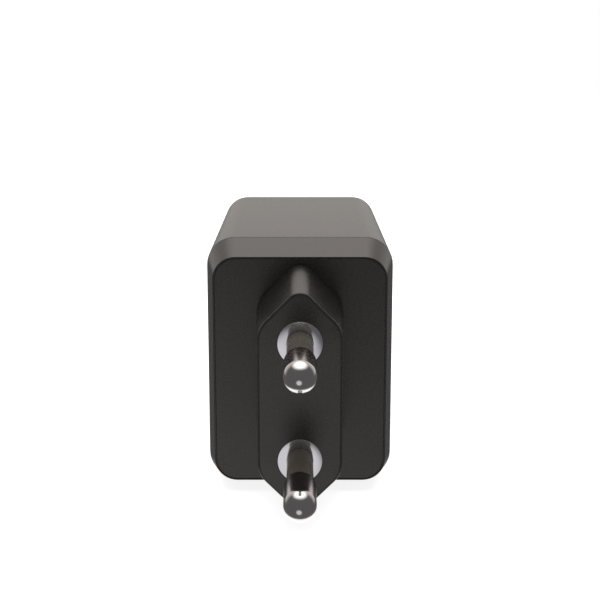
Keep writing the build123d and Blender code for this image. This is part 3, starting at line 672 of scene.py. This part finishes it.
# ---- One operator for each piece or group of like pieces ----
class CHARGER_OT_rear_housing(bpy.types.Operator):
    """Straight rear housing, with its port recess and board guides"""

    bl_idname = "charger.rear_housing"
    bl_label = "Rear housing"

    def execute(self, context):
        case, ports = context.scene.charger_case, context.scene.charger_ports
        low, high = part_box("rear_housing")
        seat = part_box("port_plate")[1].y - ports.plate
        recess = case.wall - ports.ledge
        edge, flat = 0.1 * MM, 0.03 * MM  # rounding of the recess's mouth
        profile = [
            (case.seam_depth, low.y),
            (case.seam_depth, low.y + case.seam_width - SEAM_FLANK),
            (0, low.y + case.seam_width),
        ]
        profile += [(inset, high.y - case.rear_edge + step) for inset, step in quarter(case.rear_edge)]
        profile += [
            (recess - edge, high.y),
            (recess - flat, high.y - flat),
            (recess, high.y - edge),
            (recess, seat),
            (case.wall, seat),
            (case.wall, low.y),
        ]
        mesh = bmesh.new()
        rings = [
            ring(mesh, case_outline(case.width - 2 * i, case.height - 2 * i, case.corner - i), y)
            for i, y in profile
        ]
        skin(mesh, rings, closed=True)
        board_low, board_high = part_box("main_board")
        # Guides beside the board: clearance, thickness, how far they stand out and go in, bevel.
        gap, thick, out, sunk, bevel = 0.05 * MM, 1.45 * MM, 1.6 * MM, 0.3 * MM, 0.15 * MM
        reach = case.height / 2 - case.wall
        for side in (1, -1):
            ends = sorted((side * (reach - out), side * (reach + sunk)))
            for near in (board_low.x - gap - thick, board_high.x + gap):
                far = near + thick
                bar(mesh, (near, board_low.y, ends[0]), (far, board_high.y, ends[1]), bevel)
        to_piece("housing", mesh, "case_moulding", finish_of("case_moulding"), "rear_housing")
        return {"FINISHED"}


class CHARGER_OT_front_collar(bpy.types.Operator):
    """Tapered collar that frames the front face, with its spigot into the housing"""

    bl_idname = "charger.front_collar"
    bl_label = "Front collar"

    def execute(self, context):
        case = context.scene.charger_case
        low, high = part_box("front_collar")
        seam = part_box("rear_housing")[0].y
        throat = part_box("plug_plate")[1].y
        front_width = case.width - 2 * case.side_taper
        front_height = case.height - 2 * case.end_taper
        inner = (case.width - 2 * case.wall, case.height - 2 * case.wall, case.corner - case.wall)
        edge = 0.12 * MM  # rounding of the front edge
        # Spigot: its fit in the housing, the lead-in at its end, and its wall.
        fit, lead, spigot_wall = 0.1 * MM, 0.2 * MM, 1.4 * MM
        mesh = bmesh.new()
        rings = []

        def add(size, inset, y):
            width, height, radius = size
            outline = case_outline(width - 2 * inset, height - 2 * inset, radius - inset)
            rings.append(ring(mesh, outline, y))

        front = (front_width, front_height, case.front_corner)
        back = (case.width, case.height, case.corner)
        for inset, step in reversed(quarter(edge, 4)):
            add(front, inset, low.y + edge - step)
        add(back, 0, seam - case.seam_width)
        add(back, case.seam_depth, seam - case.seam_width + SEAM_FLANK)
        add(back, case.seam_depth, seam)
        add(inner, fit, seam)
        add(inner, fit, high.y - lead)
        add(inner, fit + lead, high.y)
        add(inner, fit + spigot_wall, high.y)
        add(inner, fit + spigot_wall, throat)
        # A ledge closes most of the shadow gap, a little behind the front.
        gap = front_width / 2 - case.rim - size_of("plug_plate").x / 2
        ledge = case.rim + 0.9 * gap
        add(front, ledge, throat)
        add(front, ledge, low.y + case.gap_depth)
        add(front, case.rim, low.y + case.gap_depth)
        add(front, case.rim, low.y)
        skin(mesh, rings, closed=True)
        to_piece("collar", mesh, "case_moulding", finish_of("case_moulding"), "front_collar")
        return {"FINISHED"}


class CHARGER_OT_plug_plate(bpy.types.Operator):
    """Front face and the deep hexagonal boss that enters the socket, one moulding"""

    bl_idname = "charger.plug_plate"
    bl_label = "Plug face"

    def execute(self, context):
        case, plug = context.scene.charger_case, context.scene.charger_plug
        low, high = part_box("plug_plate")
        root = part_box("front_collar")[0].y
        pins = [middle_of(f"{row}_pin").z for row in ("upper", "lower")]
        ring_radius = size_of("upper_pin_ring").x / 2
        ring_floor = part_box("upper_pin_ring")[1].y
        sleeve_radius = size_of("upper_pin_sleeve").x / 2
        sleeve_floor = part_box("upper_pin_sleeve")[1].y
        post_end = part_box("pin_carrier")[0].y
        mesh = bmesh.new()

        front = (plug.front_width, plug.front_height, plug.apex, plug.shoulder)
        growth = (2 * plug.side_draft, 2 * plug.end_draft, plug.side_draft, plug.side_draft)
        boss = [
            ring(mesh, boss_outline(*front, inset), plug.edge - step)
            for inset, step in reversed(quarter(plug.edge, 8))
        ]
        boss.append(ring(mesh, boss_outline(*(a + b for a, b in zip(front, growth))), root))
        skin(mesh, boss)

        size = size_of("plug_plate")
        gap = case.width / 2 - case.side_taper - case.rim - size.x / 2
        corner = case.front_corner - case.rim - gap
        plate = []
        for inset, step in reversed(quarter(case.face_edge, 4)):
            outline = case_outline(size.x - 2 * inset, size.z - 2 * inset, corner - inset)
            plate.append(ring(mesh, outline, root + case.face_edge - step))
        plate.append(ring(mesh, case_outline(size.x, size.z, corner), high.y))
        skin(mesh, plate)
        cap(mesh, plate[0], boss[-1])

        hollow = boss_outline(
            plug.front_width - 2 * plug.wall, plug.front_height - 2 * plug.wall, plug.apex,
            plug.shoulder - plug.wall,
        )
        cavity = [ring(mesh, hollow, y) for y in (high.y, plug.front_wall)]
        skin(mesh, cavity)
        cap(mesh, plate[-1], cavity[0])
        mouths, roots = [], []
        post_radius = plug.shank / 2 + 1.6 * MM
        for z in pins:
            bore = [
                (ring_radius, low.y),
                (ring_radius, ring_floor),
                (sleeve_radius, ring_floor),
                (sleeve_radius, sleeve_floor),
                (plug.shank / 2, sleeve_floor),
                (plug.shank / 2, post_end),
                (post_radius, post_end),
                (post_radius, plug.front_wall),
            ]
            rings = [ring(mesh, circle(radius, z), y) for radius, y in bore]
            skin(mesh, rings)
            mouths.append(rings[0])
            roots.append(rings[-1])
        cap(mesh, boss[0], *mouths)
        cap(mesh, cavity[1], *roots)
        to_piece("plug_face", mesh, "case_moulding", finish_of("case_moulding"), "plug_plate")
        return {"FINISHED"}


class CHARGER_OT_port_plate(bpy.types.Operator):
    """Rear end with the two port mouths and four posts"""

    bl_idname = "charger.port_plate"
    bl_label = "Port end"

    def execute(self, context):
        case, ports = context.scene.charger_case, context.scene.charger_ports
        low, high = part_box("port_plate")
        size = size_of("port_plate")
        seat = high.y - ports.plate
        gap = case.width / 2 - case.wall + ports.ledge - size.x / 2
        corner = case.corner - case.wall + ports.ledge - gap
        edge = case.face_edge * 1.5  # a little rounder than the front face
        mesh = bmesh.new()
        plate = [ring(mesh, case_outline(size.x, size.z, corner), seat)]
        for inset, step in quarter(edge, 4):
            outline = case_outline(size.x - 2 * inset, size.z - 2 * inset, corner - inset)
            plate.append(ring(mesh, outline, high.y - edge + step))
        skin(mesh, plate)
        fronts, backs = [], []
        for port in ("usb_c", "usb_a"):
            mouth = [(ports.clearance, seat)]
            for inset, step in quarter(ports.bevel, 5):
                mouth.append((ports.clearance + inset, high.y - ports.bevel + step))
            rings = [ring(mesh, port_outline(port, ports, grow_by), y) for grow_by, y in mouth]
            skin(mesh, rings)
            backs.append(rings[0])
            fronts.append(rings[-1])
        posts = []
        tip = 0.2 * MM
        for x in (-1, 1):
            for z in (-1, 1):
                centre_x = x * (case.width / 2 - case.wall - ports.post_inset)
                centre_z = z * (case.height / 2 - case.wall - ports.post_inset)
                profile = [(ports.post, seat), (ports.post, low.y + tip), (ports.post - tip, low.y)]
                rings = [ring(mesh, circle(r, centre_z, centre_x, 32), y) for r, y in profile]
                skin(mesh, rings)
                cap(mesh, rings[-1])
                posts.append(rings[0])
        cap(mesh, plate[-1], *fronts)
        cap(mesh, plate[0], *backs, *posts)
        to_piece("port_end", mesh, "case_moulding", finish_of("case_moulding"), "port_plate")
        return {"FINISHED"}


class CHARGER_OT_pins(bpy.types.Operator):
    """Both plated pins, with their insulating sleeves and the polished rings at their roots"""

    bl_idname = "charger.pins"
    bl_label = "Pins"

    def execute(self, context):
        plug = context.scene.charger_plug
        # Roundings of the metal end's shoulder and the ring's face, and the ring's inner bevel.
        shoulder_round, ring_round, ring_bevel = 0.18 * MM, 0.14 * MM, 0.05 * MM
        # The thin tail that the contact holds, and the chamfer at its end.
        tail_radius, chamfer = 1.0 * MM, 0.15 * MM
        for row in ("upper", "lower"):
            low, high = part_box(f"{row}_pin")
            sleeve_low, sleeve_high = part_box(f"{row}_pin_sleeve")
            contact_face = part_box(f"{row}_contact")[0].y
            radius, z = (high.z - low.z) / 2, (high.z + low.z) / 2
            dome = [(out, low.y + back) for back, out in quarter(radius, DOME_STEPS)]
            shoulder = [
                (radius - inset, sleeve_low.y - shoulder_round + step)
                for inset, step in quarter(shoulder_round, 5)
            ]
            tail = [
                (plug.shank / 2, sleeve_low.y),
                (plug.shank / 2, contact_face),
                (tail_radius, contact_face),
                (tail_radius, high.y - chamfer),
                (tail_radius - chamfer, high.y),
                (0, high.y),
            ]
            mesh = bmesh.new()
            turned(mesh, dome + shoulder + tail, z)
            to_piece(f"{row}_prong", mesh, "pin_metal", finish_of("pin_metal"), f"{row}_pin")

            outer = (sleeve_high.z - sleeve_low.z) / 2
            lip = [
                (outer - inset, sleeve_low.y + plug.sleeve_end - step)
                for inset, step in quarter(plug.sleeve_end, 5)
            ]
            mesh = bmesh.new()
            turned(
                mesh,
                [(plug.shank / 2, sleeve_low.y)] + lip[::-1]
                + [(outer, sleeve_high.y), (plug.shank / 2, sleeve_high.y)],
                z,
                closed=True,
            )
            to_piece(f"{row}_sleeve", mesh, "pin_sleeve", finish_of("pin_sleeve"), f"{row}_pin_sleeve")

            ring_low, ring_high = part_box(f"{row}_pin_ring")
            rim = (ring_high.z - ring_low.z) / 2
            face = [
                (rim - inset, ring_low.y + ring_round - step)
                for inset, step in quarter(ring_round, 5)
            ]
            mesh = bmesh.new()
            turned(
                mesh,
                [(outer, ring_low.y + ring_bevel), (outer + ring_bevel, ring_low.y)] + face[::-1]
                + [(rim, ring_high.y), (outer, ring_high.y)],
                z,
                closed=True,
            )
            to_piece(f"{row}_ring", mesh, "pin_ring", finish_of("pin_ring"), f"{row}_pin_ring")
        return {"FINISHED"}


class CHARGER_OT_ports(bpy.types.Operator):
    """Both port shells with their rolled lips, and their tongues"""

    bl_idname = "charger.ports"
    bl_label = "Ports"

    def execute(self, context):
        ports = context.scene.charger_ports
        wall, lip, edge = ports.shell_wall, ports.shell_lip, ports.tongue_edge
        for port in ("usb_c", "usb_a"):
            low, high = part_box(f"{port}_shell")
            profile = [(0, low.y)]
            profile += [(i, high.y - lip + s) for i, s in quarter(lip, 4)]
            profile += [(wall - i, high.y - lip + s) for i, s in reversed(quarter(lip, 4))]
            profile += [(wall, low.y)]
            mesh = bmesh.new()
            rings = [ring(mesh, port_outline(port, ports, -inset), y) for inset, y in profile]
            skin(mesh, rings, closed=True)
            to_piece(f"{port}_can", mesh, "port_shell", finish_of("port_shell"), f"{port}_shell")

            z = middle_of(f"{port}_shell").z
            if port == "usb_c":
                width, height = ports.fine_tongue_width, ports.fine_tongue
            else:
                width, height = ports.wide_tongue_width, ports.wide_tongue
                z = high.z - wall - ports.wide_tongue_gap - height / 2
            low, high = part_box(f"{port}_insulator")
            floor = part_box(f"{port}_contacts")[0].y
            mesh = bmesh.new()
            base = [ring(mesh, port_outline(port, ports, -wall), y) for y in (low.y, floor)]
            skin(mesh, base)
            cap(mesh, base[0])
            corner = edge + 0.01 * MM
            blade = [ring(mesh, box_outline(width, height, corner, z), floor)]
            for inset, step in quarter(edge, 4):
                shape = box_outline(width - 2 * inset, height - 2 * inset, corner - inset, z)
                blade.append(ring(mesh, shape, high.y - edge + step))
            skin(mesh, blade)
            cap(mesh, blade[-1])
            cap(mesh, base[1], blade[0])
            to_piece(
                f"{port}_tongue", mesh, "port_insulator", finish_of("port_insulator"), f"{port}_insulator"
            )
        return {"FINISHED"}


FINE_CONTACTS = 12  # on each side of the narrow port's tongue


class CHARGER_OT_contacts(bpy.types.Operator):
    """Rows of gold-flashed contacts on both port tongues"""

    bl_idname = "charger.contacts"
    bl_label = "Port contacts"

    def execute(self, context):
        tree = strip_tree()
        gold = finish_of("port_contact")
        ports = context.scene.charger_ports
        rise, pitch, width = ports.contact_height, ports.fine_pitch, ports.wide_contact
        low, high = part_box("usb_c_contacts")
        joined = bmesh.new()
        for z in (low.z + rise / 2, high.z - rise / 2):
            data = grow(
                "fine contact row", tree,
                {"Start": (low.x + pitch / 4, low.y, z), "Step": (pitch, 0, 0),
                 "Count": FINE_CONTACTS, "Width": pitch / 2, "Height": rise,
                 "Length": high.y - low.y, "Material": gold},
            )
            joined.from_mesh(data)
        to_piece("usb_c_strips", joined, "port_contact", gold, "usb_c_contacts")
        low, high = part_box("usb_a_contacts")
        joined = bmesh.new()
        # The outer two end the row, and the inner two are a width either side of its middle.
        for first, step in ((low.x + width / 2, high.x - low.x - width), (-width, 2 * width)):
            data = grow(
                "wide contact row", tree,
                {"Start": (first, low.y, (low.z + high.z) / 2), "Step": (step, 0, 0), "Count": 2,
                 "Width": width, "Height": high.z - low.z, "Length": high.y - low.y,
                 "Material": gold},
            )
            joined.from_mesh(data)
        to_piece("usb_a_strips", joined, "port_contact", gold, "usb_a_contacts")
        return {"FINISHED"}


class CHARGER_OT_windings(bpy.types.Operator):
    """Transformer windings, each one wire laid turn by turn on the bobbin"""

    bl_idname = "charger.windings"
    bl_label = "Windings"

    def execute(self, context):
        sizes = context.scene.charger_windings
        tree = coil_tree()
        for name, node_name, wire, slot in (
            ("primary_turns", "primary_winding", sizes.primary_wire, "copper_wire"),
            ("secondary_turns", "secondary_winding", sizes.secondary_wire, "winding_outer"),
        ):
            size = size_of(node_name)
            data = grow(
                name, tree,
                {"Radius": size.y / 2, "Length": size.x, "Wire": wire,
                 "Centre": tuple(middle_of(node_name)), "Material": finish_of(slot)},
            )
            to_object(name, data, finish_of(slot), [node_name])
        return {"FINISHED"}


class CHARGER_OT_inner_parts(bpy.types.Operator):
    """Boards, chips, capacitors and the other CAD parts that keep their shape, each in its finish"""

    bl_idname = "charger.inner_parts"
    bl_label = "Inner parts"

    def execute(self, context):
        for part in frame["record"]["subparts"]:
            shown = frame["nodes"][part["node"]]
            if shown.hide_render:
                continue
            shown.data.materials.clear()
            shown.data.materials.append(finish_of(part["material_slot"]))
        return {"FINISHED"}


def pale_floor(setting):
    """Floor just under the charger."""
    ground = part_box("rear_housing")[0].z - 0.02 * MM
    mesh = bmesh.new()
    bmesh.ops.create_grid(mesh, x_segments=8, y_segments=8, size=setting.floor_size / 2)
    bmesh.ops.translate(mesh, verts=mesh.verts, vec=(0, 0, ground))
    data = bpy.data.meshes.new("floor")
    mesh.to_mesh(data)
    mesh.free()
    # Back-lit acrylic: an even white with a faint satin skin.
    acrylic, tree, shader, place = blank("back-lit white acrylic")
    tint = mixed(tree, noise(tree, place, 2.5 * MM), [0.84] * 3, [0.88] * 3)
    tree.links.new(tint, shader.inputs["Base Color"])
    shader.inputs["Roughness"].default_value = 0.8
    shader.inputs["Specular IOR Level"].default_value = 0.2
    shader.inputs["Emission Color"].default_value = (1, 1, 1, 1)
    shader.inputs["Emission Strength"].default_value = setting.floor_glow
    data.materials.append(acrylic)
    floor = bpy.data.objects.new("floor", data)
    floor.visible_glossy = False
    return floor


def studio(setting):
    """A dim room with a pale wall behind, and soft round panels of light."""
    world = bpy.data.worlds.new("studio")
    world.use_nodes = True
    tree = world.node_tree
    backdrop = tree.nodes["Background"].inputs
    way = node(tree, "ShaderNodeTexCoord").outputs["Generated"]
    apart = node(tree, "ShaderNodeSeparateXYZ", {}, {0: way}).outputs
    behind = between(tree, apart[1], 0.2, 0.8, 0.0, setting.wall, smooth=True)
    above = between(tree, apart[2], -0.12, 0.02, smooth=True)
    total = maths(tree, "MULTIPLY_ADD", behind, above, setting.room)
    # Each panel's direction, the angles from it at which it is full and gone, and its strength.
    for direction, full, none, strength in (
        ((0, 0.2, 0.98), 15, 45, setting.overhead),
        ((-0.1, -0.875, -0.475), 10, 20.5, setting.front),
        ((0, 0.5, -0.866), 25, 41, setting.below),
    ):
        facing = node(
            tree, "ShaderNodeVectorMath", {"operation": "DOT_PRODUCT"}, {0: way, 1: direction}
        )
        gone, whole = math.cos(math.radians(none)), math.cos(math.radians(full))
        panel = between(tree, facing.outputs["Value"], gone, whole, 0.0, strength, smooth=True)
        total = maths(tree, "ADD", total, panel)
    # What shows past the floor is plain white.
    seen = node(tree, "ShaderNodeLightPath").outputs["Is Camera Ray"]
    tree.links.new(maths(tree, "MAXIMUM", total, seen), backdrop["Strength"])
    # The wall is a little warm, and what the camera sees directly isn't.
    lit_wall = maths(tree, "MULTIPLY", behind, above)
    warmth = maths(tree, "SUBTRACT", lit_wall, seen, use_clamp=True)
    tree.links.new(mixed(tree, warmth, (1, 1, 1), (1.0, 0.91, 0.83)), backdrop["Color"])
    return world


def camera_in_front():
    """Camera before the pins and above them, looking slightly down."""
    downward = 11.09
    camera = bpy.data.cameras.new("camera")
    camera.lens, camera.sensor_width, camera.shift_y = 65.47, 36.0, -0.07
    camera.clip_start = 0.005
    eye = bpy.data.objects.new("camera", camera)
    eye.location = (0, -161.74 * MM, 54.67 * MM)
    eye.rotation_euler = (math.radians(90 - downward), 0, 0)
    return eye


class CHARGER_OT_stage(bpy.types.Operator):
    """Pale floor, soft lights and the camera"""

    bl_idname = "charger.stage"
    bl_label = "Stage"

    def execute(self, context):
        scene, setting = context.scene, context.scene.charger_stage
        floor = pale_floor(setting)
        context.collection.objects.link(floor)
        scene.world = studio(setting)
        scene.view_settings.view_transform = "Standard"
        eye = camera_in_front()
        context.collection.objects.link(eye)
        scene.camera = eye
        return {"FINISHED"}


STEPS = (
    CHARGER_OT_stage,
    CHARGER_OT_rear_housing,
    CHARGER_OT_front_collar,
    CHARGER_OT_plug_plate,
    CHARGER_OT_port_plate,
    CHARGER_OT_pins,
    CHARGER_OT_ports,
    CHARGER_OT_contacts,
    CHARGER_OT_windings,
    CHARGER_OT_inner_parts,
)


class CHARGER_PT_pieces(bpy.types.Panel):
    """Sizes, colours and a button for each piece"""

    bl_idname = "CHARGER_PT_pieces"
    bl_label = "Wall charger"
    bl_space_type = "VIEW_3D"
    bl_region_type = "UI"
    bl_category = "Charger"

    def draw(self, context):
        for name, group in GROUPS.items():
            box = self.layout.box()
            for key in group.__annotations__:
                box.prop(getattr(context.scene, name), key)
        for step in STEPS:
            self.layout.operator(step.bl_idname)


def register():
    for name, group in GROUPS.items():
        bpy.utils.register_class(group)
        setattr(bpy.types.Scene, name, bpy.props.PointerProperty(type=group))
    for step in STEPS:
        bpy.utils.register_class(step)
    bpy.utils.register_class(CHARGER_PT_pieces)


def unregister():
    bpy.utils.unregister_class(CHARGER_PT_pieces)
    for step in reversed(STEPS):
        bpy.utils.unregister_class(step)
    for name, group in reversed(list(GROUPS.items())):
        delattr(bpy.types.Scene, name)
        bpy.utils.unregister_class(group)


def main():
    register()
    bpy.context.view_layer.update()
    for step in STEPS:
        group, name = step.bl_idname.split(".")
        getattr(getattr(bpy.ops, group), name)()


if __name__ == "__main__":
    main()
